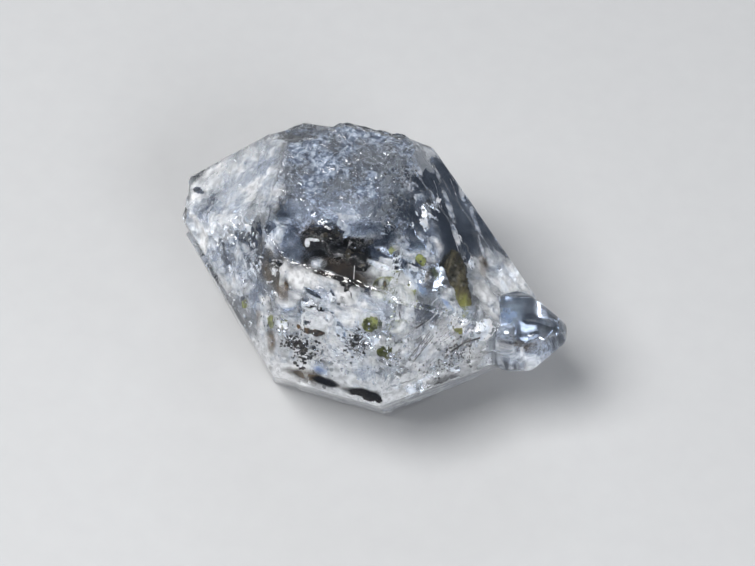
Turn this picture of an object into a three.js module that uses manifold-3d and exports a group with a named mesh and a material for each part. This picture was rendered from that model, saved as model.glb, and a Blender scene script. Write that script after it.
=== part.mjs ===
// A stubby double-ended quartz crystal with a small crystal grown on its right-hand end,
// and petroleum inclusions sealed in pockets. Sizes are in millimetres and angles in degrees.
// While it is built, the long axis is X and passes through the origin. At the end the whole
// group is moved so that the resting face lies on z = 0, centred under the crystal.

import * as THREE from "three";
import { ConvexGeometry } from "three/addons/geometries/ConvexGeometry.js";
import { mergeVertices } from "three/addons/utils/BufferGeometryUtils.js";
import Module from "manifold-3d";

const wasm = await Module();
wasm.setup();

const REST_REACH = 5.05; // from the long axis down to the face that the crystal rests on
const PART_LEVEL = 0.35; // height above the long axis of the plane that parts the clear solid

// Each face of the main crystal: lean of its normal from +X, turn of its normal about X
// (0 up, 90 front, 180 down, 270 back), and reach of the face from the origin.
const MAIN_FACES = {
  top: [90, 0, 5.08],
  upperFront: [93, 60, 6.1],
  lowerFront: [91, 118.5, 5.99],
  rest: [90, 180, REST_REACH],
  lowerBack: [90, 240, 6.0],
  upperBack: [90, 300, 6.15],
  rightTop: [55, 353, 5.05],
  rightFront: [50, 57, 6.6],
  rightLowFront: [53, 122, 6.4],
  rightUnder: [52, 180, 5.9],
  rightLowBack: [52, 240, 7.2],
  rightBack: [49, 300, 5.9],
  leftTop: [126, 4, 6.5],
  leftFront: [129, 65, 6.0],
  leftLowFront: [133, 108.5, 6.04],
  leftUnder: [128, 180, 7.3],
  leftLowBack: [128, 240, 7.1],
  leftBack: [127, 301, 7.62],
};

// Growth plates: thin later layers of the same crystal. Each lists the faces that reach
// further (raised faces) or less far (the step's riser) than on the body.
const PLATE_EASE = 0.012; // how far a plate's other faces stay inside the body
const PLATES = [
  { rightTop: 0.06, rightBack: -0.5 },
  { rightTop: 0.12, rightBack: -1.3, top: -0.1 },
  { rightFront: 0.07, rightLowFront: -0.55 },
  { rightFront: 0.03, rightTop: -0.8, rightLowFront: -1.1 },
  { upperFront: 0.06, leftFront: -0.5 },
  { leftLowFront: 0.2, leftTop: -2.3 },
  { leftFront: 0.07, leftTop: -0.9 },
  { lowerFront: 0.06, leftLowFront: -0.6 },
  { upperBack: 0.09, leftBack: -1.2 },
  { upperBack: 0.16, leftBack: -2.6, lowerBack: -0.5 },
  { lowerBack: 0.1, rightLowBack: -0.9 },
  { leftBack: 0.09, leftTop: -0.8 },
  { leftUnder: 0.08, leftLowBack: -0.8 },
  { rightLowBack: 0.08, rightUnder: -0.7 },
];

// The small crystal: centre, swing of its axis from +X toward the back, turn about its axis.
const SMALL_CENTRE = [7.25, -1.44, 0.2];
const SMALL_SWING = 17;
const SMALL_TURN = 7;
const SMALL_LEAN = 51.8;
const SMALL_PRISM = [1.72, 1.75, 1.7, 1.66, 1.7, 1.76];
const SMALL_RIGHT_END = [2.02, 2.0, 1.98, 1.9, 1.88, 2.0];
const SMALL_LEFT_END = 1.5;
const SMALL_TIP = 2.7; // its very tip is blunt

// Shell-shaped breaks: centre, lean and turn of the outward direction, rim radius, depth,
// stretch along the crystal, and where on the rim the blow fell.
const BREAKS = [
  { at: [-6.7, 0.5, 3.5], lean: 126, turn: 4, rim: 2.9, depth: 0.5, stretch: 1.15, blow: 200 },
  { at: [-5.2, -2.2, 3.45], lean: 122, turn: 34, rim: 1.25, depth: 0.34, stretch: 1.3, blow: 80 },
  { at: [-9.35, 0.75, 0.9], lean: 163, turn: 60, rim: 1.9, depth: 0.3, stretch: 1, blow: 20 },
  { at: [-4.1, 3.62, 4.72], lean: 112, turn: 325, rim: 1.5, depth: 0.36, stretch: 1.2, blow: 140 },
  { at: [-8.2, -1.5, 1.5], lean: 140, turn: 55, rim: 0.85, depth: 0.2, stretch: 1, blow: 300 },
];
const BREAK_RIPPLE = 0.022;
const BREAK_RIPPLE_LENGTH = 0.9;

// The rough patch that covers the back of the top face.
const ROUGH_CENTRE = [-1.35, 1.45];
const ROUGH_HALF = [3.5, 3.6];
const ROUGH_STEPS = [28, 28];
const ROUGH_LIFT = 0.13;
const ROUGH_HEIGHT = 0.2;
const ROUGH_FLOOR = 1.1;

// Inclusions: each is one or more lumps, given as centre [x, y] on the parting plane, offset
// above it, half sizes, and turn about the vertical.
const POCKET_GAP = 0.15;
const INCLUSIONS = {
  bitumen_mass: {
    color: 0x14110e,
    lumps: [
      { at: [-2.0, -0.42], up: 0.1, half: [0.98, 0.72, 0.62], turn: 20 },
      { at: [-0.55, -1.05], up: -0.05, half: [1.25, 0.55, 0.5], turn: -12 },
      { at: [-0.35, -0.2], up: 0.05, half: [0.75, 0.38, 0.35], turn: 25 },
    ],
  },
  oil_body: {
    color: 0x4a431f,
    lumps: [
      { at: [3.35, 0.2], up: 0.05, half: [0.62, 1.05, 0.5], turn: 24 },
      { at: [4.2, -1.05], up: -0.02, half: [0.42, 0.85, 0.34], turn: 30 },
    ],
  },
  oil_drop_centre: { color: 0x6b661c, lumps: [{ at: [1.42, -2.05], up: 0, half: [0.34, 0.46, 0.34], turn: -20 }] },
  oil_drop_low: { color: 0x66601e, lumps: [{ at: [2.3, -3.6], up: 0, half: [0.3, 0.26, 0.26], turn: 35 }] },
  oil_drop_left: { color: 0x5c571c, lumps: [{ at: [-2.45, -3.6], up: 0, half: [0.26, 0.32, 0.28], turn: 10 }] },
  oil_drop_far_left: { color: 0x5a5420, lumps: [{ at: [-4.35, -3.3], up: -0.02, half: [0.2, 0.32, 0.22], turn: -25 }] },
  oil_drop_upper: { color: 0x55501c, lumps: [{ at: [1.45, -0.1], up: 0, half: [0.3, 0.42, 0.3], turn: 40 }] },
  bitumen_sliver: {
    color: 0x2b2113,
    lumps: [
      { at: [-1.45, -3.5], up: 0, half: [0.42, 0.13, 0.13], turn: -14 },
      { at: [-0.85, -3.52], up: 0, half: [0.4, 0.15, 0.14], turn: 12 },
    ],
  },
};

const rad = THREE.MathUtils.degToRad;

// Direction that leans from +X by one angle and turns about X by another.
function direction(lean, turn) {
  const x = Math.cos(rad(lean));
  const y = -Math.sin(rad(lean)) * Math.sin(rad(turn));
  const z = Math.sin(rad(lean)) * Math.cos(rad(turn));
  return new THREE.Vector3(x, y, z);
}

function facePlane([lean, turn, reach]) {
  return new THREE.Plane(direction(lean, turn), -reach);
}

// Corner where three planes meet, or null when two of them are parallel.
function corner(a, b, c) {
  const m = new THREE.Matrix3();
  m.set(a.normal.x, a.normal.y, a.normal.z, b.normal.x, b.normal.y, b.normal.z, c.normal.x, c.normal.y, c.normal.z);
  if (Math.abs(m.determinant()) < 1e-6) return null;
  return new THREE.Vector3(-a.constant, -b.constant, -c.constant).applyMatrix3(m.invert());
}

// The solid that lies behind every one of the planes.
function convexSolid(planes) {
  const corners = [];
  for (let i = 0; i < planes.length; i++) {
    for (let j = i + 1; j < planes.length; j++) {
      for (let k = j + 1; k < planes.length; k++) {
        const p = corner(planes[i], planes[j], planes[k]);
        if (!p || planes.some((plane) => plane.distanceToPoint(p) > 1e-6)) continue;
        if (corners.every((q) => q.distanceTo(p) > 1e-4)) corners.push(p);
      }
    }
  }
  return toSolid(new ConvexGeometry(corners));
}

function toSolid(geometry) {
  const bare = new THREE.BufferGeometry();
  bare.setAttribute("position", geometry.getAttribute("position").clone());
  if (geometry.index) bare.setIndex(geometry.index.clone());
  const merged = mergeVertices(bare, 1e-5);
  const index = merged.index.array;
  const triangles = [];
  for (let i = 0; i < index.length; i += 3) {
    const [a, b, c] = [index[i], index[i + 1], index[i + 2]];
    if (a !== b && b !== c && c !== a) triangles.push(a, b, c);
  }
  const mesh = new wasm.Mesh({
    numProp: 3,
    vertProperties: new Float32Array(merged.getAttribute("position").array),
    triVerts: new Uint32Array(triangles),
  });
  return new wasm.Manifold(mesh);
}

function toMesh(solid, name, color, clear) {
  const mesh = solid.getMesh();
  const geometry = new THREE.BufferGeometry();
  geometry.setAttribute("position", new THREE.BufferAttribute(mesh.vertProperties.slice(), 3));
  geometry.setIndex(new THREE.BufferAttribute(mesh.triVerts.slice(), 1));
  geometry.computeVertexNormals();
  const material = new THREE.MeshStandardMaterial({ color, roughness: 0.15 });
  if (clear) {
    material.transparent = true;
    material.opacity = 0.4;
  }
  const result = new THREE.Mesh(geometry, material);
  result.name = name;
  return result;
}

// Smooth, repeatable unevenness between about -1 and 1.
function unevenness(x, y, z) {
  const a = Math.sin(1.7 * x + 2.3 * y + 0.4) * Math.cos(2.1 * z - 1.3 * x);
  const b = Math.sin(4.1 * y - 3.3 * z + 1.9) * Math.cos(3.7 * x + 1.1 * y);
  const c = Math.sin(8.3 * x - 6.1 * y + 0.7) * Math.cos(7.7 * y + 5.3 * x + 2.9 * z);
  return 0.5 * a + 0.32 * b + 0.26 * c;
}

function mainCrystal() {
  let body = convexSolid(Object.values(MAIN_FACES).map(facePlane));
  for (const changes of PLATES) {
    const planes = [];
    for (const [name, [lean, turn, reach]] of Object.entries(MAIN_FACES)) {
      planes.push(facePlane([lean, turn, reach + (changes[name] ?? -PLATE_EASE)]));
    }
    body = body.add(convexSolid(planes));
  }
  return body;
}

function smallCrystal() {
  const place = new THREE.Matrix4().makeRotationZ(rad(SMALL_SWING)).setPosition(...SMALL_CENTRE);
  const planes = [facePlane([0, 0, SMALL_TIP])];
  for (let k = 0; k < 6; k++) {
    const turn = SMALL_TURN + 60 * k;
    planes.push(facePlane([90, turn, SMALL_PRISM[k]]));
    planes.push(facePlane([SMALL_LEAN, turn, SMALL_RIGHT_END[k]]));
    planes.push(facePlane([180 - SMALL_LEAN, turn, SMALL_LEFT_END]));
  }
  for (const plane of planes) plane.applyMatrix4(place);
  return convexSolid(planes);
}

// Height of the main crystal's surface above a point, before any detail.
function surfaceHeight(x, y) {
  let height = Infinity;
  for (const face of Object.values(MAIN_FACES)) {
    const { normal, constant } = facePlane(face);
    if (normal.z > 0.2) height = Math.min(height, (-constant - normal.x * x - normal.y * y) / normal.z);
  }
  return height;
}

// A slab sunk into the top of the crystal whose upper side is rough in the middle and dips
// below the crystal's own surface all around.
function roughPatch() {
  const [cx, cy] = ROUGH_CENTRE;
  const [hx, hy] = ROUGH_HALF;
  const [nx, ny] = ROUGH_STEPS;
  const slab = new THREE.BoxGeometry(2 * hx, 2 * hy, 2, nx, ny, 1);
  const p = slab.getAttribute("position");
  for (let i = 0; i < p.count; i++) {
    const x = cx + p.getX(i) + 0.06 * unevenness(3 * p.getX(i), 5 * p.getY(i), 1);
    const y = cy + p.getY(i) + 0.06 * unevenness(4 * p.getY(i), 3 * p.getX(i), 2);
    const across = Math.hypot(p.getX(i) / hx, p.getY(i) / hy) + 0.16 * unevenness(x, y, 3);
    const inside = 1 - THREE.MathUtils.smoothstep(across, 0.68, 0.92);
    const rough = ROUGH_LIFT + ROUGH_HEIGHT * unevenness(1.4 * x, 1.4 * y, 0.5);
    const top = surfaceHeight(x, y) + inside * rough - 0.1 * (1 - inside);
    p.setXYZ(i, x, y, p.getZ(i) > 0 ? top : top - ROUGH_FLOOR);
  }
  return toSolid(slab);
}

// A cutter with a shallow rippled bowl for its lower end.
function breakCutter({ at, lean, turn, rim, depth, stretch, blow }) {
  const profile = [];
  const rings = Math.round(3 + 3.4 * rim);
  for (let i = 0; i <= rings; i++) {
    const r = (1.25 * rim * i) / rings;
    profile.push(new THREE.Vector2(r, depth * ((r / rim) ** 2 - 1)));
  }
  profile.push(new THREE.Vector2(1.25 * rim, 3 * rim));
  profile.push(new THREE.Vector2(0, 3 * rim));
  const cutter = new THREE.LatheGeometry(profile, Math.round(14 + 6 * rim));
  const p = cutter.getAttribute("position");
  const blowX = rim * Math.cos(rad(blow));
  const blowZ = rim * Math.sin(rad(blow));
  for (let i = 0; i < p.count; i++) {
    const [x, y, z] = [p.getX(i), p.getY(i), p.getZ(i)];
    const far = Math.hypot(x - blowX, z - blowZ);
    const ripple = BREAK_RIPPLE * Math.sin((2 * Math.PI * far) / BREAK_RIPPLE_LENGTH);
    const lift = y < rim ? ripple + 0.04 * unevenness(x, z, rim) : 0;
    p.setXYZ(i, x * stretch, y + lift, z);
  }
  cutter.applyQuaternion(new THREE.Quaternion().setFromUnitVectors(new THREE.Vector3(0, 1, 0), direction(lean, turn)));
  cutter.translate(...at);
  return toSolid(cutter);
}

// The lumps of one inclusion, fused, each grown by `extra` for its pocket.
function lumpSolid(lumps, extra) {
  let solid = null;
  for (const { at, up, half, turn } of lumps) {
    const ball = new THREE.IcosahedronGeometry(1, 2);
    const p = ball.getAttribute("position");
    for (let i = 0; i < p.count; i++) {
      const [x, y, z] = [p.getX(i), p.getY(i), p.getZ(i)];
      const swell = 1 + 0.13 * unevenness(1.3 * x + at[0], 1.3 * y + at[1], 1.3 * z);
      p.setXYZ(i, x * (half[0] * swell + extra), y * (half[1] * swell + extra), z * (half[2] * swell + extra));
    }
    ball.rotateZ(rad(turn));
    ball.translate(at[0], at[1], PART_LEVEL + up);
    const lump = toSolid(ball);
    solid = solid ? solid.add(lump) : lump;
  }
  return solid;
}

function clearSolid() {
  let solid = mainCrystal().add(roughPatch());
  for (const one of BREAKS) solid = solid.subtract(breakCutter(one));
  solid = solid.add(smallCrystal());
  for (const { lumps } of Object.values(INCLUSIONS)) solid = solid.subtract(lumpSolid(lumps, POCKET_GAP));
  return solid;
}

// The part of a solid that lies above or below the parting plane.
function half(solid, side) {
  const size = 40;
  const block = new THREE.BoxGeometry(size, size, size);
  block.translate(0, 0, PART_LEVEL + (side * size) / 2);
  return solid.intersect(toSolid(block));
}

function build() {
  const clear = clearSolid();
  const group = new THREE.Group();
  group.name = "petroleum_quartz_crystal";
  group.add(toMesh(half(clear, 1), "crystal_upper", 0xd9e2ea, true));
  group.add(toMesh(half(clear, -1), "crystal_lower", 0xd9e2ea, true));
  for (const [name, { color, lumps }] of Object.entries(INCLUSIONS)) {
    group.add(toMesh(lumpSolid(lumps, 0), name, color, false));
  }
  const box = new THREE.Box3().setFromObject(group);
  const middle = box.getCenter(new THREE.Vector3());
  for (const mesh of group.children) mesh.geometry.translate(-middle.x, -middle.y, -box.min.z);
  return group;
}

export default build();
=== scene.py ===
# Petroleum quartz: a doubly ended quartz crystal with bitumen and oil sealed inside.
# Z is up, and the crystal lies on its flat underside with its long axis along X. Places and
# sizes in the crystal are written in millimetres, and MM makes metres of them.
import itertools
import math
import random
import bpy
import bmesh
from mathutils import Matrix, Vector, noise
from mathutils.bvhtree import BVHTree


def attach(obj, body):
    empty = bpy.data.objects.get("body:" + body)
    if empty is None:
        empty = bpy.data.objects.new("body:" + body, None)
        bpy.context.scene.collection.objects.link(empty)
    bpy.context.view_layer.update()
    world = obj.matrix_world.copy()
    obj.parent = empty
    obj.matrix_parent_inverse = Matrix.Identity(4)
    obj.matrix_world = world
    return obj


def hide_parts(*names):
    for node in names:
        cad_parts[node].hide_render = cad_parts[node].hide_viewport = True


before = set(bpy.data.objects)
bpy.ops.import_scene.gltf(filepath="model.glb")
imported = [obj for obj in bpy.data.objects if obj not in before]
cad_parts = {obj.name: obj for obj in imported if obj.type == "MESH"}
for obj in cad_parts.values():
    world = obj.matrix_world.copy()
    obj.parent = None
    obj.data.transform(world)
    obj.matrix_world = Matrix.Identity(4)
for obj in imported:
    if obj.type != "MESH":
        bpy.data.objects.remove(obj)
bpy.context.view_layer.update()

MM = 0.001

# ---- Camera -------------------------------------------------------------------------
# A long lens from the front and well above, a little to the right, so that the top, the front
# faces and the slopes at both ends all show.
camera_azimuth, camera_elevation = 17.4, 53.5
camera_distance = 98.5 * MM
camera_aim = Vector((0.426, 0.004, 4.52)) * MM


def aim(thing, target, azimuth, elevation, distance):
    """A thing is hung at a distance from its target and turned to face it. In degrees, the azimuth
    runs from the front round to the right, and the elevation up from the level."""
    azimuth, elevation = math.radians(azimuth), math.radians(elevation)
    outward = Vector((math.sin(azimuth) * math.cos(elevation), -math.cos(azimuth) * math.cos(elevation),
                      math.sin(elevation)))
    thing.location = target + outward * distance
    thing.rotation_euler = (-outward).to_track_quat("-Z", "Y").to_euler()
    bpy.context.scene.collection.objects.link(thing)


lens = bpy.data.cameras.new("camera")
lens.lens = 100.0
lens.sensor_width = 36.0
lens.clip_start = 0.001
lens.clip_end = 10.0
camera = bpy.data.objects.new("camera", lens)
aim(camera, camera_aim, camera_azimuth, camera_elevation, camera_distance)
bpy.context.scene.camera = camera

# ---- Studio floor and light ---------------------------------------------------------
# A plain pale sheet of card, a large soft box overhead on the left, a weaker one in front, a cool
# one behind and a narrow one on the right, in a dim room, so that the facets have both bright
# and dark to show.
sheet_radius = 0.9
dark_pulp, pale_pulp = (0.285, 0.288, 0.295, 1), (0.305, 0.308, 0.315, 1)


def as_object(name, shape):
    """A finished shape becomes an object of its own, where it stands."""
    data = bpy.data.meshes.new(name)
    shape.to_mesh(data)
    shape.free()
    thing = bpy.data.objects.new(name, data)
    bpy.context.scene.collection.objects.link(thing)
    return thing


def new_material(name):
    """A new material, and the object's own coordinates for its patterns."""
    material = bpy.data.materials.new(name)
    material.use_nodes = True
    return material, material.node_tree.nodes.new("ShaderNodeTexCoord").outputs["Object"]


def set_inputs(node, inputs):
    """Each input of a node gets a fixed value, or what another node gives."""
    for name, value in inputs.items():
        if isinstance(value, bpy.types.NodeSocket):
            node.id_data.links.new(value, node.inputs[name])
        else:
            node.inputs[name].default_value = value


def set_surface(material, inputs):
    """The inputs of the material's own shader."""
    set_inputs(material.node_tree.nodes["Principled BSDF"], inputs)


def mottle(place, scale, detail=2.0, roughness=0.5, distortion=0.0):
    """A cloudy pattern from 0 to 1, with about scale patches to the metre."""
    pattern = place.id_data.nodes.new("ShaderNodeTexNoise")
    set_inputs(pattern, {"Vector": place, "Scale": scale, "Detail": detail, "Roughness": roughness,
                         "Distortion": distortion})
    return pattern.outputs["Fac"]


def blended(material, factor, first, second, blend_type="MIX"):
    """Two colours, mixed or multiplied by a factor."""
    blend = material.node_tree.nodes.new("ShaderNodeMix")
    blend.data_type = "RGBA"
    blend.blend_type = blend_type
    set_inputs(blend, {"Factor": factor, "A": first, "B": second})
    return blend.outputs["Result"]


def soft_box(name, azimuth, elevation, distance, width, height, watts, colour):
    """A lamp with a wide soft face, aimed at the middle of the sheet."""
    lamp = bpy.data.lights.new(name, "AREA")
    lamp.shape = "RECTANGLE"
    lamp.size, lamp.size_y = width, height
    lamp.energy = watts
    lamp.color = colour
    aim(bpy.data.objects.new(name, lamp), Vector(), azimuth, elevation, distance)


sheet = bmesh.new()
bmesh.ops.create_circle(sheet, cap_ends=True, segments=96, radius=sheet_radius)
studio_floor = as_object("studio_floor", sheet)
pale_card, place = new_material("pale_card")
card_tone = blended(pale_card, mottle(place, 900, 4), dark_pulp, pale_pulp)
set_surface(pale_card, {"Base Color": card_tone, "Roughness": 0.9})
studio_floor.data.materials.append(pale_card)

soft_box("soft_box_overhead", -48, 62, 0.24, 0.13, 0.13, 1.15, (1.0, 0.99, 0.97))
soft_box("soft_box_front", 46, 36, 0.28, 0.12, 0.10, 0.50, (0.98, 0.99, 1.0))
soft_box("soft_box_behind", 190, 40, 0.30, 0.16, 0.07, 0.14, (0.86, 0.92, 1.0))
soft_box("soft_box_right", 80, 34, 0.26, 0.05, 0.12, 0.09, (0.93, 0.96, 1.0))
dim_room = bpy.data.worlds.new("dim_room")
bpy.context.scene.world = dim_room
dim_room.use_nodes = True
set_inputs(dim_room.node_tree.nodes["Background"], {"Color": (0.78, 0.87, 1.0, 1), "Strength": 0.15})
bpy.context.scene.view_settings.view_transform = "Standard"

# ---- Clear crystal ------------------------------------------------------------------
# One solid of colourless quartz, glassy where its growth faces are whole, cloudy where it
# was knocked and rough on top. The solid model parts it in two round what is sealed in it;
# here both halves' outer skins are joined again and their edges are worn a little.
parting = 5.4 * MM  # the height where the halves meet
same_place = 0.0008 * MM
crystal_grain = 0.07
small_crystal = 7.0  # the small crystal at the right end lies beyond this
edge_wear = 0.13
top_plane, patch_ceiling = 10.13, 10.40
triangle_limit = 190000

skin = bmesh.new()
for half in ("crystal_upper", "crystal_lower"):
    skin.from_mesh(bpy.data.objects[half].data)
bmesh.ops.remove_doubles(skin, verts=skin.verts, dist=same_place)
bmesh.ops.delete(skin, context="FACES", geom=[
    f for f in skin.faces if all(abs(v.co.z - parting) < same_place for v in f.verts)])
# the largest shell that is left is the outer skin, and the others line the pockets
skin.verts.index_update()
shells, reached = [], set()
for start in skin.verts:
    if start.index in reached:
        continue
    shell, waiting = [], [start]
    reached.add(start.index)
    while waiting:
        vert = waiting.pop()
        shell.append(vert)
        for edge in vert.link_edges:
            other = edge.other_vert(vert)
            if other.index not in reached:
                reached.add(other.index)
                waiting.append(other)
    shells.append(shell)
shells.sort(key=len)
bmesh.ops.delete(skin, context="VERTS", geom=[v for shell in shells[:-1] for v in shell])
bmesh.ops.holes_fill(skin, edges=[e for e in skin.edges if len(e.link_faces) != 2], sides=0)
clear_crystal = as_object("clear_crystal", skin)


def apply_modifiers(piece):
    """The piece's modifiers are applied, so that its mesh can be worked on further."""
    bpy.context.view_layer.update()
    shaped = bpy.data.meshes.new_from_object(piece.evaluated_get(bpy.context.evaluated_depsgraph_get()))
    shaped.name = piece.name
    piece.modifiers.clear()
    piece.data = shaped
    return shaped


def melt_together(piece, grain, passes):
    """What overlaps in the piece becomes one skin with an even grain, smoothed a few times."""
    melt = piece.modifiers.new("melt", "REMESH")
    melt.mode = "VOXEL"
    melt.voxel_size = grain * MM
    soften = piece.modifiers.new("soften", "SMOOTH")
    soften.iterations = passes
    return apply_modifiers(piece)


def facet(lean, turn):
    """A face's outward direction: its lean from the long axis, and its turn about it from the top."""
    lean, turn = math.radians(lean), math.radians(turn)
    return Vector((math.cos(lean), -math.sin(lean) * math.sin(turn), math.sin(lean) * math.cos(turn)))


def ramp(value, low, high):
    """An eased rise from 0 at low to 1 at high."""
    t = min(max((value - low) / (high - low), 0.0), 1.0)
    return t * t * (3 - 2 * t)


def swell(x, y, pitch, salt):
    """Soft random swells, pitch of them or so to the millimetre. Each salt gives others."""
    return noise.noise(Vector((x * pitch, y * pitch, salt)))


clear_data = melt_together(clear_crystal, crystal_grain, 2)
crystal = bmesh.new()
crystal.from_mesh(clear_data)
# the small crystal's edges are worn rounder than those of the large one
for wear in range(36):
    worn = [v for v in crystal.verts if v.co.x > (small_crystal - 0.1 + 0.01 * wear) * MM]
    bmesh.ops.smooth_vert(crystal, verts=worn, factor=0.5, use_axis_x=True, use_axis_y=True, use_axis_z=True)
crystal.normal_update()
haze_layer = crystal.verts.layers.float.new("haze")
grain_layer = crystal.verts.layers.float.new("grain")
clouded_faces = [  # direction, haze of its surface, strength of its grain
    (facet(90, 0), 0.16, 0.55), (facet(93, 60), 0.03, 0.12), (facet(91, 118.5), 0.06, 0.15),
    (facet(126, 4), 0.16, 0.40), (facet(129, 65), 0.08, 0.30), (facet(133, 108.5), 0.10, 0.25),
    (facet(55, 353), 0.03, 0.05), (facet(50, 57), 0.05, 0.12), (facet(53, 122), 0.08, 0.15),
    (facet(90, 180), 0.12, 0.15), (facet(90, 240), 0.10, 0.12), (facet(90, 300), 0.16, 0.2),
    (facet(128, 180), 0.14, 0.2), (facet(128, 240), 0.12, 0.2), (facet(127, 301), 0.25, 0.3),
    (facet(52, 180), 0.08, 0.1), (facet(52, 240), 0.08, 0.1), (facet(49, 300), 0.06, 0.1)]
for vert in crystal.verts:
    x, y, z = vert.co / MM
    upright = vert.normal.z
    facing = [max(vert.normal.dot(direction), 0.0) for direction, haze, grain in clouded_faces]
    closeness = [f ** 14 for f in facing]
    whole = sum(closeness) or 1.0
    haze = sum(c * face[1] for c, face in zip(closeness, clouded_faces)) / whole
    grain = sum(c * face[2] for c, face in zip(closeness, clouded_faces)) / whole
    # the top face clears towards the front ridge
    on_top = ramp(z, 9.9, 10.0) * ramp(upright, 0.93, 0.985)
    clearing = 1 - on_top * (0.9 - 0.9 * ramp(y, -2.6, 0.2))
    haze, grain = haze * clearing, grain * clearing
    # its back is one rough patch, which ends at the ridge on its right
    ridge = 1.42 - 0.174 * y
    patch = (ramp(x, -5.15, -4.75) * (1 - ramp(x, ridge - 0.35, ridge + 0.02)) * ramp(y, -2.3, 0.4)
             * ramp(z, 9.85, 10.0) * ramp(upright, 0.2, 0.5))
    if patch > 0.0:
        height = (0.10 + 0.06 * swell(x, y, 0.9, 3.0) + 0.075 * swell(x, y, 2.3, 9.0)
                  + 0.05 * swell(x, y, 5.5, 1.0))
        vert.co.z += patch * (min(top_plane + height, patch_ceiling) - z) * MM
        grain = max(grain, patch)
    else:
        # elsewhere the edges of the large crystal are nibbled
        edge = (1 - ramp(max(facing), 0.97, 0.998)) * (1 - ramp(x, small_crystal - 0.8, small_crystal - 0.2))
        nibble = max(noise.noise(Vector((x * 2.6, y * 2.6, z * 2.6))) - 0.05, 0.0)
        nibble += 0.5 * max(noise.noise(Vector((x * 7, y * 7, z * 7))), 0.0)
        vert.co -= vert.normal * edge * edge_wear * nibble * MM
        grain += 0.25 * edge
    # the left end is clouded by its breaks
    haze += 0.12 * ramp(-x, 5.5, 6.8) + 0.15 * ramp(-x, 8.7, 9.3)
    if x > small_crystal:
        haze, grain = haze * 1.2, grain * 0.5
    vert[haze_layer] = haze
    vert[grain_layer] = grain
crystal.to_mesh(clear_data)
crystal.free()
thin_flats = clear_crystal.modifiers.new("thin_flats", "DECIMATE")
thin_flats.ratio = min(1.0, triangle_limit / (len(clear_data.polygons) * 2))
apply_modifiers(clear_crystal).shade_smooth()
flat_faces = clear_crystal.modifiers.new("flat_faces_stay_flat", "WEIGHTED_NORMAL")
flat_faces.weight = 70
clear_data = apply_modifiers(clear_crystal)


def painted(material, layer):
    """What a layer of the mesh says at each point."""
    paint = material.node_tree.nodes.new("ShaderNodeAttribute")
    paint.attribute_name = layer
    return paint.outputs["Fac"]


def rescaled(value, low, high, new_low=0.0, new_high=1.0):
    """A value stretched from one range to another, and held at both ends."""
    stretch = value.id_data.nodes.new("ShaderNodeMapRange")
    set_inputs(stretch, {"Value": value, "From Min": low, "From Max": high,
                         "To Min": new_low, "To Max": new_high})
    return stretch.outputs["Result"]


def worked_out(operation, first, *others, clamp=False):
    """A sum done on a value and others, which are numbers or values."""
    step = first.id_data.nodes.new("ShaderNodeMath")
    step.operation = operation
    step.use_clamp = clamp
    set_inputs(step, dict(enumerate((first, *others))))
    return step.outputs["Value"]


def bumped(height, distance):
    """The way the surface leans where a pattern raises it, by a distance in millimetres at most."""
    relief = height.id_data.nodes.new("ShaderNodeBump")
    set_inputs(relief, {"Height": height, "Distance": distance * MM})
    return relief.outputs["Normal"]


clear_quartz, place = new_material("clear_quartz")
patchy = rescaled(mottle(place, 700, 5, 0.62), 0.36, 0.66, 0.45, 1.35)
pitting = worked_out("MULTIPLY", mottle(place, 4200, 3), painted(clear_quartz, "grain"))
set_surface(clear_quartz, {"Base Color": (1, 1, 1, 1), "Transmission Weight": 1.0, "IOR": 1.544,
                           "Roughness": worked_out("MULTIPLY", painted(clear_quartz, "haze"), patchy),
                           "Normal": bumped(pitting, 0.07)})
smoke = clear_quartz.node_tree.nodes.new("ShaderNodeVolumeAbsorption")
set_inputs(smoke, {"Color": (0.64, 0.71, 0.80, 1), "Density": 34.0})
set_inputs(clear_quartz.node_tree.nodes["Material Output"], {"Volume": smoke.outputs["Volume"]})
clear_data.materials.clear()
clear_data.materials.append(clear_quartz)
outer_skin = BVHTree.FromObject(clear_crystal, bpy.context.evaluated_depsgraph_get())


def inside_quartz(point, depth):
    """True if a point in metres lies in the crystal, at least depth millimetres below its skin."""
    near, out, index, away = outer_skin.find_nearest(point)
    return (point - near).dot(out) < 0 and away > depth * MM


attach(clear_crystal, "root")
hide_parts("crystal_upper", "crystal_lower")

# ---- Healed cracks ------------------------------------------------------------------
# Thin crumpled films where the quartz broke and grew together again. They hold no colour of
# their own: they shine white and silvery because the light turns back at them.
upper_front, right_front, foot_front = facet(93, 60), facet(50, 57), facet(91, 118.5)
left_top, left_front, right_top, top = facet(126, 4), facet(129, 65), facet(55, 353), facet(90, 0)
sideways = (1, 0, 0)
film_wall = 0.012
film_depth = 0.07  # no film comes nearer to the skin than this
film_numbers = itertools.count(1)
# what is sealed in the crystal shows because films leave a round gap in front of it: where the
# gap begins and ends, and its radius
gaps = [(Vector(near), Vector(far), radius) for near, far, radius in (
    ((-1.1, -5.5, 7.7), (-1.5, -3.5, 5.5), 0.42), ((-0.7, -5.5, 7.7), (-0.9, -3.5, 5.5), 0.42),
    ((1.7, -5.15, 8.65), (1.3, -2.05, 5.5), 0.50), ((2.44, -5.76, 7.67), (2.18, -3.6, 5.5), 0.34),
    ((-2.9, -5.21, 6.96), (-2.57, -3.6, 5.5), 0.34), ((-4.58, -4.08, 6.16), (-4.47, -3.3, 5.5), 0.26),
    ((2.93, -1.65, 9.39), (1.33, -0.1, 5.5), 0.24), ((4.33, -0.95, 8.31), (3.23, 0.2, 5.5), 0.62),
    ((5.11, -2.01, 7.89), (4.08, -1.05, 5.5), 0.42), ((-1.42, -2.32, 10.1), (-2.0, -0.5, 5.6), 0.85),
    ((-0.02, -2.93, 10.1), (-0.6, -0.9, 5.6), 0.85))]


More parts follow.
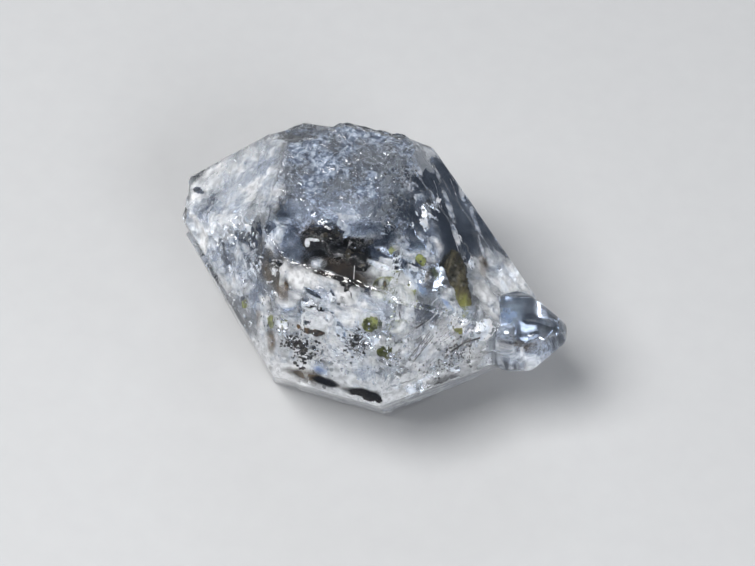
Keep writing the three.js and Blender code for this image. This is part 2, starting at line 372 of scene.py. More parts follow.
def in_gap(spot):
    """True if a point in millimetres lies in one of the gaps."""
    for near, far, radius in gaps:
        line = far - near
        along_it = min(max((spot - near).dot(line) / line.dot(line), 0.0), 1.0)
        if (spot - near - line * along_it).length < radius:
            return True
    return False


def healed_film(films, centre, facing, along, length, width, crumple, dense=0.0, cover=9.0, step=0.2,
                rim=0.30, taper=0.0, whole=False):
    """A film round a point in millimetres, facing one way and as long as length along another. Its
    outline is ragged, with taper its ends are pointed, where cover is low it is torn to lace, and a
    whole film has no gaps. The fade layer runs from 1 inside to 0 at the rim, and the dense layer
    says how solid the film is."""
    salt = next(film_numbers) * 17.3
    film = bmesh.new()
    bmesh.ops.create_grid(film, x_segments=max(int(length / step), 4),
                          y_segments=max(int(width / step), 4), size=0.5)
    fade_layer = film.verts.layers.float.new("fade")
    dense_layer = film.verts.layers.float.new("dense")
    gone = []
    for vert in film.verts:
        u, v = vert.co.x * 2, vert.co.y * 2
        x, y = vert.co.x * length, vert.co.y * width * (1 - taper * u * u)
        ragged = 0.30 * swell(x, y, 0.7, salt) + 0.18 * swell(x, y, 2.2, salt + 5)
        lace = (0.55 * swell(x, y, 0.9, salt + 11) + 0.45 * swell(x, y, 2.6, salt + 21)
                + 0.35 * swell(x, y, 6.0, salt + 31))
        fold = (0.60 * swell(x, y, 0.6, salt + 41) + 0.28 * swell(x, y, 1.9, salt + 51)
                + 0.14 * swell(x, y, 5.0, salt + 61))
        reach = math.hypot(u, v) - ragged
        if reach > 0.90 or lace > cover:
            gone.append(vert)
        vert[fade_layer] = 1 - ramp(reach, rim, 0.88)
        vert[dense_layer] = dense
        vert.co = Vector((x, y, crumple * fold)) * MM
    bmesh.ops.delete(film, geom=gone, context="VERTS")
    bmesh.ops.delete(film, geom=[v for v in film.verts if not v.link_faces], context="VERTS")
    out = facing.normalized()
    across = out.cross(Vector(along)).normalized()
    turn = Matrix((across.cross(out), across, out)).transposed().to_4x4()
    bmesh.ops.transform(film, verts=film.verts, matrix=Matrix.Translation(Vector(centre) * MM) @ turn)
    bmesh.ops.delete(film, context="VERTS", geom=[
        v for v in film.verts
        if not inside_quartz(v.co, film_depth) or (not whole and in_gap(v.co / MM))])
    bmesh.ops.delete(film, geom=[v for v in film.verts if not v.link_faces], context="VERTS")
    part = bpy.data.meshes.new("film")
    film.to_mesh(part)
    film.free()
    films.from_mesh(part)
    bpy.data.meshes.remove(part)


def place_piece(name, shape, material):
    """A finished shape goes into the scene, rides on the crystal and takes its material."""
    piece = as_object(name, shape)
    piece.data.shade_smooth()
    piece.data.materials.append(material)
    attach(piece, "root")
    return piece


def give_wall(piece):
    """Films get a wall thickness, half of it on either side."""
    wall = piece.modifiers.new("film_wall", "SOLIDIFY")
    wall.thickness = film_wall * MM
    wall.offset = 0.0
    apply_modifiers(piece)


def tones(value, *stops):
    """The colours that a value runs through, from 0 to 1: each stop is a position and a colour."""
    blend = value.id_data.nodes.new("ShaderNodeValToRGB")
    set_inputs(blend, {"Fac": value})
    elements = blend.color_ramp.elements
    for element, (position, colour) in ((elements[0], stops[0]), (elements[1], stops[-1])):
        element.position = position
        element.color = (*colour, 1)
    for position, colour in stops[1:-1]:
        elements.new(position).color = (*colour, 1)
    return blend.outputs["Color"]


silvery_crack, place = new_material("silvery_crack")
glint = mottle(place, 2600)
set_surface(silvery_crack, {
    "Base Color": tones(mottle(place, 1500, 4), (0.30, (0.30, 0.33, 0.38)), (0.44, (0.80, 0.86, 0.95)),
                        (0.60, (0.96, 0.97, 1.0))),
    "Metallic": rescaled(glint, 0.46, 0.56), "Roughness": rescaled(glint, 0.3, 0.7, 0.45, 0.12)})

cracks = bmesh.new()
for centre, facing, along, length, width, crumple, cover, step in (
        # under the ridge and down the upper front face
        ((0.1, -4.15, 8.45), upper_front, sideways, 5.6, 1.5, 0.5, 0.10, 0.08),
        ((1.7, -4.4, 7.5), upper_front, sideways, 3.6, 2.4, 0.7, -0.06, 0.08),
        ((-0.9, -4.6, 6.9), upper_front, (1, 0, 0.4), 3.4, 2.2, 0.8, -0.12, 0.08),
        ((0.6, -5.2, 5.9), upper_front, (1, 0, -0.2), 6.2, 1.9, 0.7, -0.14, 0.08),
        ((-2.4, -4.0, 7.2), upper_front, (1, 0, 0.6), 2.6, 2.4, 0.9, -0.14, 0.08),
        # left front and left end
        ((-4.6, -3.0, 5.6), left_front, sideways, 3.4, 4.2, 0.9, -0.08, 0.08),
        ((-4.9, -2.0, 7.6), left_front, (1, 0, 0.5), 3.0, 3.4, 0.7, -0.05, 0.08),
        ((-6.4, 0.7, 7.3), left_top, sideways, 5.0, 5.4, 0.7, 0.0, 0.1),
        ((-7.2, 0.1, 5.8), left_front, (1, 0, 1), 3.0, 3.4, 0.8, -0.24, 0.08),
        # right front and the pale patch by the small crystal
        ((4.2, -3.6, 6.2), right_front, (1, 0.3, 0), 4.4, 3.4, 0.8, -0.10, 0.08),
        ((3.4, -4.4, 5.2), right_front, (1, 1, 0), 3.6, 2.6, 0.8, -0.10, 0.08),
        ((6.0, -2.4, 6.4), right_front, sideways, 1.3, 1.2, 0.4, 0.35, 0.06),
        ((4.6, 0.24, 7.11), right_top, (0.3, -1, 0), 0.8, 0.45, 0.15, 0.6, 0.05),
        # along the foot
        ((0.0, -5.3, 2.5), foot_front, sideways, 9.0, 2.6, 0.1, -0.10, 0.07),
        # the mottled strip beside the top ridge
        ((2.3, 0.7, 8.9), right_top, (0.2, 1, 0), 4.2, 1.3, 0.5, -0.16, 0.07),
        ((2.6, -1.9, 8.6), right_top, (0.4, 1, 0), 2.6, 1.8, 0.6, -0.10, 0.07),
        # the glitter round the flat oval crack below the ridge
        ((-0.80, -4.56, 9.12), upper_front, (1.5, -0.15, -0.1), 2.0, 0.95, 0.2, -0.05, 0.05)):
    healed_film(cracks, centre, facing, along, length, width, crumple, cover=cover, step=step)
give_wall(place_piece("healed_cracks", cracks, silvery_crack))

# ---- Milky veils --------------------------------------------------------------------
# Sheets of droplets too small to see, left where cracks have all but closed. They are soft
# edged and let part of the light through, so the quartz looks cloudy in front of them.
upward, out_of_small_foot = Vector((0, -0.25, 1)), Vector((0.3, -0.8, 0.6))
slope_edge, down_slope = (0.48, -0.33, -0.3), (0.91, -1.27, -0.49)

milky_veil, place = new_material("milky_veil")
wisps = mottle(place, 850, 7, 0.68, 0.6)
fullness = worked_out("ADD", rescaled(wisps, 0.38, 0.64, 0.0, 0.95), painted(milky_veil, "dense"), clamp=True)
# where a veil is thin it scatters blue, and where it is thick it is white
hue = tones(fullness, (0.15, (0.42, 0.56, 0.86)), (0.5, (0.80, 0.87, 0.98)), (0.95, (0.97, 0.975, 0.99)))
droplets = rescaled(mottle(place, 3600, 4), 0.36, 0.60, 0.58)
set_surface(milky_veil, {"Base Color": blended(milky_veil, 1.0, hue, droplets, "MULTIPLY"), "Roughness": 0.6,
                         "Alpha": worked_out("MULTIPLY", fullness, painted(milky_veil, "fade"))})
veils = bmesh.new()


def veil(centre, facing, along, length, width, crumple, dense, **shape):
    """One more milky veil, as a healed film that may be thin or dense."""
    healed_film(veils, centre, facing, along, length, width, crumple, dense, **shape)


# the cloudy left end, just under its skin
veil((-6.3, 0.65, 8.05), left_top, sideways, 6.6, 8.4, 0.3, 0.2)
veil((-4.95, 0.9, 9.1), left_top, (0.95, -3.78, 0.43), 8.6, 2.2, 0.08, 0.2)
veil((-7.7, -0.8, 6.0), left_front, sideways, 4.8, 4.6, 0.2, 0.1, rim=0.55)
veil((-8.3, 0.1, 3.24), facet(133, 108.5), (-1, 1, 0.3), 3.4, 2.0, 0.1, 0.1, rim=0.6)
veil((-5.3, -2.3, 1.8), facet(133, 108.5), (-1.6, 1.4, 0.5), 8.5, 3.0, 0.1, 0.15, rim=0.6)
veil((-6.2, 1.5, 7.0), Vector((-0.25, -0.35, 0.88)), sideways, 6.4, 6.6, 0.5, 0.45)
veil((-8.45, 1.4, 6.5), left_top, (-0.6, -1.1, -0.5), 6.6, 3.2, 0.2, 0.5)
veil((-6.6, 3.0, 7.0), facet(127, 330), sideways, 4.6, 3.6, 0.4, 0.4)
veil((-5.6, -2.3, 6.9), left_front, sideways, 4.8, 5.8, 0.5, 0.0)
veil((-3.6, -3.8, 6.3), left_front, (1, 0, 0.5), 4.0, 4.6, 0.7, 0.1)
# the bright band under the ridge, and the floor of cloud below the oil and bitumen
veil((-0.4, -4.3, 9.35), upper_front, (1, 0.03, 0), 8.2, 2.2, 0.12, 0.4, cover=0.42, step=0.06)
veil((0.5, -4.5, 8.6), upper_front, (1, 0.08, 0), 8.0, 2.4, 0.35, 0.2, cover=0.25, step=0.08)
veil((0.6, -3.9, 8.3), upper_front, (1, 0.08, 0), 6.0, 1.5, 0.5, 0.4, cover=0.20, step=0.1)
veil((0.2, -3.8, 4.5), upward, sideways, 11.0, 6.6, 0.5, 0.6, cover=0.40, step=0.1, rim=0.7)
veil((0.6, -4.0, 4.1), upward, sideways, 10.0, 6.2, 0.7, 0.6, cover=0.16, step=0.12)
veil((0.8, -4.9, 6.6), upper_front, (1, 0, 0.2), 6.8, 3.6, 0.7, 0.25, cover=0.15)
veil((0.2, -5.3, 6.0), upper_front, (1, 0, -0.3), 7.4, 3.0, 0.6, 0.2, cover=0.15)
veil((3.2, 0.2, 4.4), upward, sideways, 5.2, 4.4, 0.5, 0.3, cover=0.3, step=0.1)
# the frosty foot of the front
veil((0.0, -5.16, 2.6), foot_front, sideways, 11.0, 4.2, 0.15, 0.1, cover=0.45, step=0.1, rim=0.6)
veil((4.2, -3.81, 3.0), facet(53, 122), (0.75, 0.66, 0), 7.5, 3.6, 0.15, 0.1, cover=0.45, step=0.1, rim=0.6)
# the right front
veil((4.5, -3.3, 6.2), right_front, (1, 0.3, 0), 6.0, 5.0, 0.7, 0.25, cover=0.25, step=0.12)
veil((4.2, -2.6, 4.7), upward, sideways, 6.0, 5.2, 0.5, 0.6, cover=0.25, step=0.1)
# greyer cloud under the rough top
veil((-1.8, 1.4, 9.2), top, sideways, 7.0, 7.0, 0.6, -0.2)
veil((-1.5, 0.9, 8.3), top, (1, 1, 0), 6.6, 6.0, 0.8, -0.2)
# small patches beside the top ridge, under the front ridge and in the right front
for centre, facing, size, dense in (
        ((1.95, -1.2, 9.4), right_top, 2.8, 0.05), ((2.74, -3.75, 9.35), right_top, 2.1, 0.6),
        ((2.0, -4.25, 9.55), upper_front, 2.2, 0.3), ((2.9, -4.7, 8.3), right_front, 2.6, 0.2),
        ((3.11, -5.15, 7.22), right_front, 1.6, 0.3), ((-2.3, -4.8, 7.75), upper_front, 2.6, 0.3),
        ((1.35, -4.6, 9.1), upper_front, 2.4, 0.3)):
    veil(centre, facing, sideways, size, size * 0.75, 0.3, dense, cover=0.5, step=0.06, rim=0.0)
# thin ones over the back and the left of the dark pocket
veil((-3.3, -1.8, 9.3), top, (0.5, 1, 0), 4.2, 3.2, 0.3, -0.12)
veil((-1.4, -0.7, 9.3), top, sideways, 7.0, 3.2, 0.3, -0.1)
# the mottled strip beside the top ridge, and soft streaks down the clear slope
veil((1.7, 1.6, 9.0), right_top, down_slope, 5.6, 1.5, 0.4, -0.05, cover=0.3, step=0.1)
veil((2.4, -1.6, 8.9), right_top, (0.4, 1, 0), 3.4, 1.4, 0.3, 0.1, cover=0.3, step=0.1)
veil((2.95, -0.3, 8.9), right_top, (-0.3, 1, 0), 3.2, 1.9, 0.1, 0.1, cover=0.35, step=0.06)
for centre, length, width, dense in (
        ((2.8, 2.5, 7.9), 2.6, 0.55, 0.1), ((4.2, 2.6, 7.3), 2.4, 0.5, 0.1),
        ((1.85, 3.8, 8.6), 1.8, 0.35, 0.3), ((1.0, 3.4, 9.2), 1.8, 0.6, 0.1),
        ((3.5, 1.2, 7.6), 2.2, 0.5, 0.05), ((3.2, 3.6, 7.6), 2.0, 0.4, 0.1),
        ((4.9, 1.3, 7.0), 1.8, 0.4, 0.15), ((2.2, 2.2, 8.5), 1.6, 0.4, 0.15)):
    veil(centre, right_top, down_slope, length, width, 0.1, dense, step=0.08)
# the pale slope beside the small crystal, and the foot of the small crystal itself
veil((6.0, 0.7, 6.15), right_top, (2.07, -1.37, -1.29), 5.6, 3.6, 0.2, 0.28, rim=0.0)
veil((6.95, 1.0, 5.6), right_top, slope_edge, 4.0, 2.8, 0.1, 0.42, rim=0.5)
veil((7.9, -1.75, 4.95), out_of_small_foot, sideways, 4.4, 3.0, 0.1, -0.08)
veil((6.1, -1.3, 6.75), right_top, slope_edge, 2.8, 2.2, 0.1, 0.45, step=0.1)
# the bright middle of the flat oval crack below the ridge
veil((-0.70, -4.58, 9.14), upper_front, (1.5, -0.15, -0.1), 1.3, 0.62, 0.08, 0.3, step=0.05)
# one that crosses the right of the dark pocket, and a pale one over its left
veil((1.35, -2.95, 9.99), top, (1.69, -0.27, 0), 2.4, 0.6, 0.02, 0.2, cover=0.4, step=0.05, taper=0.7)
veil((-1.22, -3.66, 10.0), top, sideways, 1.2, 0.95, 0.02, 0.1, step=0.05, whole=True)
# solid white flecks in the dark pocket: painted bright glints
for centre, along, length, width in (
        ((-2.33, -1.05, 6.45), (1, 0.15, 0), 0.86, 0.26), ((-2.52, -1.25, 6.45), (0.3, -1, 0), 0.62, 0.30),
        ((-1.90, -0.95, 6.40), (1, 0, 0), 0.14, 0.10)):
    veil(centre, top, along, length, width, 0.02, 1.0, step=0.03, rim=0.7, whole=True)
# a pale patch at the right end of the front ridge, and a thin bright line across the pocket
veil((1.98, -3.78, 9.90), top, sideways, 1.8, 1.3, 0.02, 0.35, step=0.06, rim=0.0)
veil((0.5, -3.66, 10.02), top, (0.22, -0.8, 0), 1.0, 0.055, 0.0, 1.0, cover=0.2, step=0.02, rim=0.8,
     whole=True)
place_piece("milky_veils", veils, milky_veil)

# ---- Granular top -------------------------------------------------------------------
# Right under the rough patch the quartz is full of fine grains and hollows, so it looks like
# dark blue grey sugar from above. The grains' dark blue grey is painted shade.
granular_quartz, place = new_material("granular_quartz")
grit_and_shade = tones(mottle(place, 4600, 5, 0.7), (0.38, (0.03, 0.045, 0.085)), (0.49, (0.13, 0.17, 0.25)),
             (0.65, (0.64, 0.71, 0.82)))
# painted shade: where the grains lie thin they are darker
drifts = mottle(place, 600, 4)
shadow = rescaled(drifts, 0.40, 0.58, 0.5, 1.1)
packing = rescaled(drifts, 0.36, 0.60, 0.45, 0.95)
set_surface(granular_quartz, {"Base Color": blended(granular_quartz, 1.0, grit_and_shade, shadow, "MULTIPLY"),
                              "Roughness": 0.5,
                              "Alpha": worked_out("MULTIPLY", packing, painted(granular_quartz, "fade"))})
sugar = bmesh.new()
healed_film(sugar, (-1.9, 2.9, 9.95), top, sideways, 10.6, 9.6, 0.04, step=0.15)
healed_film(sugar, (-4.0, 4.1, 8.85), Vector((-0.1, 0.65, 0.75)), sideways, 4.6, 2.2, 0.04, step=0.12,
            rim=0.6)
place_piece("granular_top", sugar, granular_quartz)

# ---- Clean cracks -------------------------------------------------------------------
# Smooth cracks deep in the crystal, made as mirrors tinted dark grey: painted dark reflection. Seen
# from above they turn the light back dimly, which is why the clear right slope and the gaps in
# the cloud look almost black.
painted_dark_crack, place = new_material("painted_dark_crack")
# the dark grey tint of these mirrors is painted dark reflection
breath = mottle(place, 600, 4)
set_surface(painted_dark_crack, {
    "Base Color": tones(breath, (0.40, (0.20, 0.23, 0.29)), (0.66, (0.50, 0.55, 0.64))),
    "Metallic": 1.0, "Roughness": rescaled(breath, 0.0, 1.0, 0.05, 0.25)})
clean = bmesh.new()
healed_film(clean, (2.4, 3.4, 4.75), right_top, (0.2, 1, 0), 7.6, 7.0, 0.12, step=0.12)
healed_film(clean, (-1.7, -0.1, 4.2), Vector((0, -0.1, 1)), sideways, 9.0, 5.6, 0.15, step=0.12)
# one inside the small crystal, as painted dark reflection under its upper facet
healed_film(clean, (7.6, -0.7, 5.75), Vector((0.15, 0.05, 1)), sideways, 3.6, 2.6, 0.02, step=0.08)
# a flat oval one under the ridge, seen as two dark crescents round its bright middle
healed_film(clean, (-1.12, -4.55, 9.10), upper_front, (1.0, -0.15, -0.25), 1.25, 0.42, 0.1, step=0.04,
            taper=0.6)
healed_film(clean, (-0.20, -4.52, 9.22), upper_front, (0.4, -0.35, -0.75), 0.75, 0.28, 0.1, step=0.04,
            taper=0.6)
# one across the left end, behind its cloud, as painted shade that greys it
healed_film(clean, (-7.6, -0.2, 5.6), left_front, (1, 0, 0.4), 4.4, 4.4, 0.3, cover=0.12, step=0.1)
give_wall(place_piece("clean_cracks", clean, painted_dark_crack))

# ---- Blue gleams --------------------------------------------------------------------
# Films painted blue, deep in the middle and pale at the rim: painted bluish shade and reflection
# along the ridge of the right front face, in two spots of the upper front and at the foot of the
# small crystal.
painted_blue_shade, place = new_material("painted_blue_shade")
blue_shade_mottle = rescaled(mottle(place, 1300, 4), 0.38, 0.62, 0.12, 0.85)
shown = worked_out("MULTIPLY", blue_shade_mottle, painted(painted_blue_shade, "fade"))
# painted bluish shade: deep blue in the middle, paling towards its rim
set_surface(painted_blue_shade, {"Base Color": tones(shown, (0.15, (0.60, 0.76, 1.0)), (0.75, (0.07, 0.14, 0.33))),
                         "Roughness": 0.35, "Alpha": shown})
gleams = bmesh.new()
for centre, facing, along, length, width, crumple, step, rim in (
        ((3.15, -2.8, 9.0), right_top, (1.0, -0.5, -0.6), 3.0, 1.6, 0.04, 0.08, 0.0),
        ((3.45, -3.1, 8.85), right_top, (1.0, -0.2, -0.7), 1.6, 0.7, 0.04, 0.08, 0.0),
        ((4.5, -2.85, 8.22), right_top, (0.9, -0.2, -0.6), 1.9, 0.8, 0.04, 0.08, 0.0),
        ((7.2, -1.3, 6.3), Vector((0.04, -0.12, 0.99)), (0.2, 1, 0), 2.6, 1.7, 0.04, 0.08, 0.0),
        ((0.35, -5.2, 7.85), upper_front, (0.5, -0.3, -0.6), 1.6, 0.8, 0.06, 0.08, 0.30),
        ((-0.25, -6.35, 5.9), upper_front, (0.6, 0, -0.1), 1.4, 0.9, 0.06, 0.08, 0.0),
        ((2.4, -1.1, 8.7), right_top, (0.4, 1, 0), 1.8, 0.9, 0.3, 0.1, 0.30)):
    healed_film(gleams, centre, facing, along, length, width, crumple, step=step, rim=rim)
place_piece("blue_gleams", gleams, painted_blue_shade)

# ---- Oil stains ---------------------------------------------------------------------
# Cracks that oil has crept along and left brown: smudges in the left front, round the
# bitumen, beside the long body of oil and in the small crystal. Where the tar itself has
# run, they are nearly black. The long leaves along the foot of the front are nearly black as
# painted dark reflection.
# nearly black: tar, and painted dark reflection in the leaves along the foot
tar_and_shade_black = (0.008, 0.010, 0.015, 1)
brown_stain, place = new_material("brown_stain")
creep = mottle(place, 1100, 6)
tea = tones(creep, (0.40, (0.30, 0.20, 0.10)), (0.62, (0.07, 0.05, 0.028)))
tar_and_shade_amount = painted(brown_stain, "dense")
soaked = worked_out("ADD", rescaled(creep, 0.38, 0.66, 0.0, 0.85), tar_and_shade_amount, clamp=True)
set_surface(brown_stain, {"Base Color": blended(brown_stain, tar_and_shade_amount, tea, tar_and_shade_black), "Roughness": 0.6,
                          "Specular IOR Level": 0.1,
                          "Alpha": worked_out("MULTIPLY", soaked, painted(brown_stain, "fade"))})
stains = bmesh.new()
for centre, facing, along, length, width, crumple, dense, step, rim in (
        ((-2.46, -4.50, 8.66), left_front, (1, 0, -0.3), 2.0, 1.4, 0.1, 0.35, 0.08, 0.4),
        ((-3.42, -3.57, 8.47), left_front, sideways, 1.3, 1.1, 0.1, 0.25, 0.08, 0.30),
        ((-2.75, -5.50, 5.90), left_front, (0.2, -0.5, -1), 1.8, 1.0, 0.1, 0.3, 0.08, 0.30),
        ((-3.68, -4.62, 6.02), left_front, (0.2, -0.5, -1), 1.8, 0.8, 0.1, 0.3, 0.08, 0.30),
        ((-2.4, -0.6, 6.6), top, (1, 0.2, 0), 3.0, 2.0, 0.5, 0.0, 0.15, 0.30),
        ((3.0, -2.0, 8.3), right_top, (0.5, -1, 0), 2.6, 0.9, 0.5, 0.0, 0.1, 0.30),
        ((5.2, 0.4, 7.0), right_top, (0.5, -1, 0), 1.5, 0.8, 0.1, 0.1, 0.08, 0.30),
        ((4.2, -2.9, 6.9), right_front, (1, 0.5, 0), 2.4, 0.8, 0.3, 0.0, 0.1, 0.30),
        ((5.3, -2.9, 6.0), right_front, (1, 1, 0), 2.2, 0.5, 0.2, 0.15, 0.08, 0.30),
        ((7.55, -1.98, 5.55), out_of_small_foot, sideways, 2.0, 0.9, 0.1, -0.15, 0.06, 0.30)):
    healed_film(stains, centre, facing, along, length, width, crumple, dense, step=step, rim=rim)
# tar smeared under the front ridge, where it cuts off the dark pocket, and a streak at its right end
healed_film(stains, (0.15, -3.75, 9.93), top, (1, -0.12, 0), 5.2, 2.4, 0.03, 0.9, step=0.06, rim=0.35,
            taper=0.5, whole=True)
healed_film(stains, (1.97, -3.84, 9.98), top, (0.3, -1, 0), 0.8, 0.28, 0.01, 0.8, step=0.03, rim=0.2)
# long thin nearly black leaves along the foot of the front: painted dark reflection
foot_line = (2.93, -0.12, 0.08)
for centre, along, length, width, dense, rim, taper in (
        ((-0.55, -6.60, 5.52), foot_line, 4.4, 0.86, 0.7, 0.2, 0.7),
        ((0.20, -6.66, 5.58), foot_line, 2.2, 0.60, 1.0, 0.4, 0.7),
        ((1.85, -6.82, 5.56), (1.95, -0.12, -0.05), 3.6, 0.95, 0.97, 0.5, 0.85)):
    healed_film(stains, centre, upper_front, along, length, width, 0.03, dense, step=0.05, rim=rim,
                taper=taper)
place_piece("oil_stains", stains, brown_stain)

# ---- Gas bubbles --------------------------------------------------------------------
# Round silvery bubbles of natural gas, shut in as the quartz closed over them: loose clusters
# down the front faces, and a fine scatter under the top and the left end.
gas_bubble, place = new_material("gas_bubble")
pearl = mottle(place, 3000)
set_surface(gas_bubble, {
    "Base Color": tones(pearl, (0.35, (0.55, 0.60, 0.70)), (0.60, (0.98, 0.98, 1.0))),
    "Metallic": 1.0, "Roughness": rescaled(pearl, 0.0, 1.0, 0.05, 0.25)})
chance = random.Random(71)
skin_gap = 0.05  # what is strewn keeps this far from the skin


def strewn(centre, facing, sideways_spread, downhill_spread, thickness, count):
    """Points in metres strewn round a centre in millimetres, in a layer that faces one way."""
    out = facing.normalized()
    across = (Vector(sideways) - out * out.x).normalized()
    down = out.cross(across)
    for _ in range(count):
        spot = Vector(centre) + across * chance.gauss(0, sideways_spread)
        spot += down * chance.gauss(0, downhill_spread)
        spot += out * chance.gauss(0, thickness)
        yield spot * MM


def mould_of(shape):
    """A small mesh to make many copies from."""
    mould = bpy.data.meshes.new("mould")
    shape.to_mesh(mould)
    shape.free()
    return mould


def add_copy(shape, mould, matrix):
    """One more copy of a small mesh is set into the shape."""
    cast = mould.copy()
    cast.transform(matrix)
    shape.from_mesh(cast)
    bpy.data.meshes.remove(cast)


ball = bmesh.new()
bmesh.ops.create_uvsphere(ball, u_segments=8, v_segments=6, radius=MM)
ball_mould = mould_of(ball)
bubbles = bmesh.new()
for centre, facing, spread_x, spread_down, thickness, count, smallest, largest in (
        ((-1.45, -5.75, 6.7), upper_front, 0.45, 0.40, 0.08, 34, 0.03, 0.08),
        ((0.0, -6.0, 6.3), upper_front, 0.45, 0.35, 0.08, 40, 0.02, 0.05),
        ((1.2, -5.45, 7.5), upper_front, 0.42, 0.40, 0.08, 50, 0.03, 0.07),
        ((2.97, -5.45, 7.15), right_front, 0.28, 0.35, 0.08, 30, 0.03, 0.08),
        ((4.3, -4.1, 7.3), right_front, 0.9, 0.7, 0.10, 30, 0.02, 0.06),
        ((-3.3, -4.4, 7.2), left_front, 0.9, 0.9, 0.10, 36, 0.03, 0.07),
        ((-0.3, -4.35, 9.2), upper_front, 1.4, 0.25, 0.06, 12, 0.02, 0.05),
        ((-6.6, -1.2, 6.9), left_front, 0.9, 0.8, 0.15, 26, 0.03, 0.08),
        ((-6.5, 0.6, 8.2), left_top, 1.4, 1.6, 0.10, 30, 0.02, 0.05),
        ((-0.3, -5.85, 6.7), upper_front, 1.5, 0.5, 0.10, 110, 0.02, 0.045),
        ((4.2, -3.8, 7.3), right_front, 1.2, 1.0, 0.10, 70, 0.02, 0.04),
        ((-2.0, 1.5, 9.9), top, 2.2, 1.8, 0.05, 70, 0.02, 0.05)):
    for spot in strewn(centre, facing, spread_x, spread_down, thickness, count):
        radius = chance.uniform(smallest, largest)
        if inside_quartz(spot, radius + skin_gap):
            add_copy(bubbles, ball_mould, Matrix.Translation(spot) @ Matrix.Scale(radius, 4))
place_piece("gas_bubbles", bubbles, gas_bubble)

# ---- Dark grains --------------------------------------------------------------------
# Crumbs of pyrobitumen, harder and more angular than the tar, in clots in the upper front,
# round the big lumps and scattered below the right front face.
pyrobitumen_grain, place = new_material("pyrobitumen_grain")
flecks = mottle(place, 4000)
set_surface(pyrobitumen_grain, {
    "Base Color": tones(flecks, (0.45, (0.010, 0.012, 0.018)), (0.65, (0.04, 0.035, 0.03))),
    "Roughness": rescaled(flecks, 0.0, 1.0, 0.1, 0.5)})
crumb = bmesh.new()
bmesh.ops.create_icosphere(crumb, subdivisions=1, radius=MM)
crumb_mould = mould_of(crumb)
grains = bmesh.new()
for centre, facing, spread_x, spread_down, thickness, count, size in (
        ((-1.5, -5.82, 6.66), upper_front, 0.46, 0.20, 0.06, 130, 0.12),
        ((-1.2, -6.05, 6.2), upper_front, 0.20, 0.32, 0.06, 60, 0.11),
        ((1.15, -5.45, 7.45), upper_front, 0.30, 0.36, 0.06, 70, 0.10),
        ((-0.9, -4.55, 8.95), upper_front, 0.30, 0.10, 0.03, 5, 0.05),
        ((2.97, -5.45, 7.15), right_front, 0.28, 0.35, 0.06, 22, 0.06),
        ((5.4, -3.75, 6.05), right_front, 0.70, 0.35, 0.06, 90, 0.07),
        ((4.8, -4.55, 5.75), right_front, 0.70, 0.22, 0.06, 44, 0.065),
        ((3.9, -4.2, 7.9), right_front, 0.70, 0.60, 0.06, 26, 0.045),
        ((-4.0, -3.95, 6.9), left_front, 1.1, 0.9, 0.08, 60, 0.055),
        ((-6.9, -0.9, 6.6), left_front, 0.8, 0.6, 0.15, 34, 0.07),
        ((-1.0, -0.4, 6.0), top, 0.7, 0.35, 0.20, 50, 0.13),
        ((-2.5, -0.7, 6.5), top, 0.4, 0.3, 0.20, 24, 0.12),
        ((0.9, 1.5, 9.6), top, 0.22, 1.1, 0.12, 60, 0.08),
        ((2.1, 0.6, 9.0), right_top, 0.35, 1.2, 0.12, 50, 0.07),
        ((2.8, -2.1, 8.7), right_top, 0.35, 0.5, 0.12, 34, 0.07),
        ((-0.8, 2.6, 9.95), top, 2.0, 1.3, 0.05, 150, 0.06)):
    for spot in strewn(centre, facing, spread_x, spread_down, thickness, count):
        axis = Vector((chance.gauss(0, 1), chance.gauss(0, 1), chance.gauss(0, 1)))
        tumble = Matrix.Rotation(chance.uniform(0, 2 * math.pi), 4, axis)
        radius = size * chance.uniform(0.4, 1.2)
        squash = Matrix.Diagonal((radius * chance.uniform(0.5, 1.3), radius * chance.uniform(0.4, 1.0),
                                  radius * chance.uniform(0.3, 0.7), 1))
        if inside_quartz(spot, radius + skin_gap):
            add_copy(grains, crumb_mould, Matrix.Translation(spot) @ tumble @ squash)
# two leaves under the ridge and one along the right foot
for centre, facing, along, length, width, crumple, step in (
        ((0.42, -4.31, 9.70), upper_front, (0.5, -0.15, -0.5), 0.46, 0.12, 0.01, 0.02),
        ((0.62, -4.42, 9.50), upper_front, (0.2, -0.2, -0.6), 0.42, 0.10, 0.01, 0.02),
        ((4.3, -5.55, 5.15), right_front, (1.7, 2.1, -0.1), 3.4, 0.34, 0.03, 0.05)):
    healed_film(grains, centre, facing, along, length, width, crumple, step=step, taper=0.8)


def needle(shape, start, end, thickness):
    """A straight needle between two points in millimetres, thinner at its far end. It is left out
    where it would come near the skin."""
    start, end = Vector(start) * MM, Vector(end) * MM
    run = end - start
    if not (inside_quartz(start, 0.08) and inside_quartz(end, 0.08)):
        return
    lie = run.to_track_quat("Z", "Y").to_matrix().to_4x4()
    bmesh.ops.create_cone(shape, cap_ends=True, segments=6, radius1=thickness * MM,
                          radius2=thickness * 0.55 * MM, depth=run.length,
                          matrix=Matrix.Translation((start + end) / 2) @ lie)


for start, end, thickness in (
        # splinters under the right front face
        ((5.0, -3.95, 6.33), (5.55, -3.3, 6.52), 0.055), ((6.1, -2.85, 6.42), (5.5, -3.35, 6.5), 0.055),
        ((3.5, -4.35, 8.1), (3.95, -3.85, 8.25), 0.05), ((2.72, -4.35, 9.05), (2.85, -4.55, 8.8), 0.04),
        # dark lines along the longest growth tubes
        ((3.40, -5.18, 6.78), (4.05, -4.0, 7.64), 0.032), ((3.66, -5.14, 6.66), (4.28, -4.04, 7.44), 0.032)):
    needle(grains, start, end, thickness)
place_piece("dark_grains", grains, pyrobitumen_grain).data.shade_flat()

